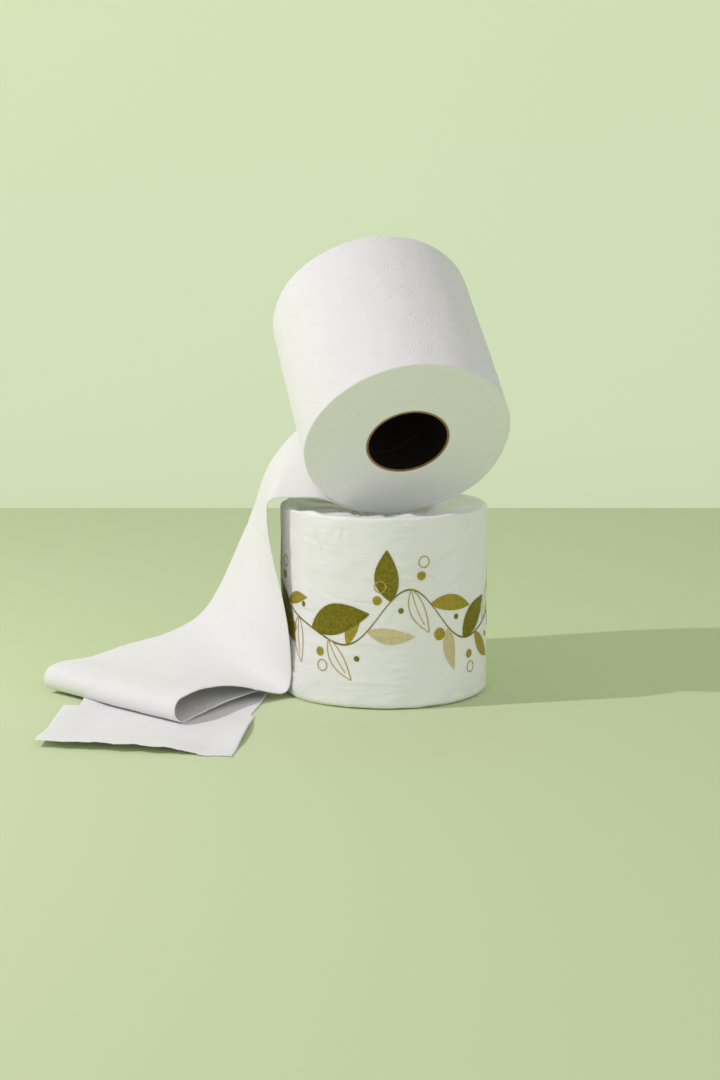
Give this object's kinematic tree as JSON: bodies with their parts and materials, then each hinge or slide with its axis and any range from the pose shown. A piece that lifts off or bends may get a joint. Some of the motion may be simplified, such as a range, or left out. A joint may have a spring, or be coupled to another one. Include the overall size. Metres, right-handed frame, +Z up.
{
  "type": "toilet paper roll pack",
  "caption": "Toilet paper roll sealed in a printed paper wrapper, with a loose roll balanced on top and its unwound sheets folded on the floor.",
  "frame": {"origin": "centre of the wrapped roll's base, on the floor", "axes": "+Z up, along the wrapped roll's axis; -Y to the front, where the loose roll's end face looks; -X to the side where the unwound sheets lie"},
  "size_m": [0.2457, 0.2286, 0.2406],
  "materials": {
    "wrapper": "thin crumpled wrapping paper, faint sheen, printed in olive, gold and tan",
    "tissue": "soft white embossed tissue, matt",
    "cardboard": "brown spirally wound core board, matt"
  },
  "bodies": {
    "root": {"wrapped_roll": "wrapper", "paper_roll": "tissue", "core_tube": "cardboard"}
  },
  "joints": []
}
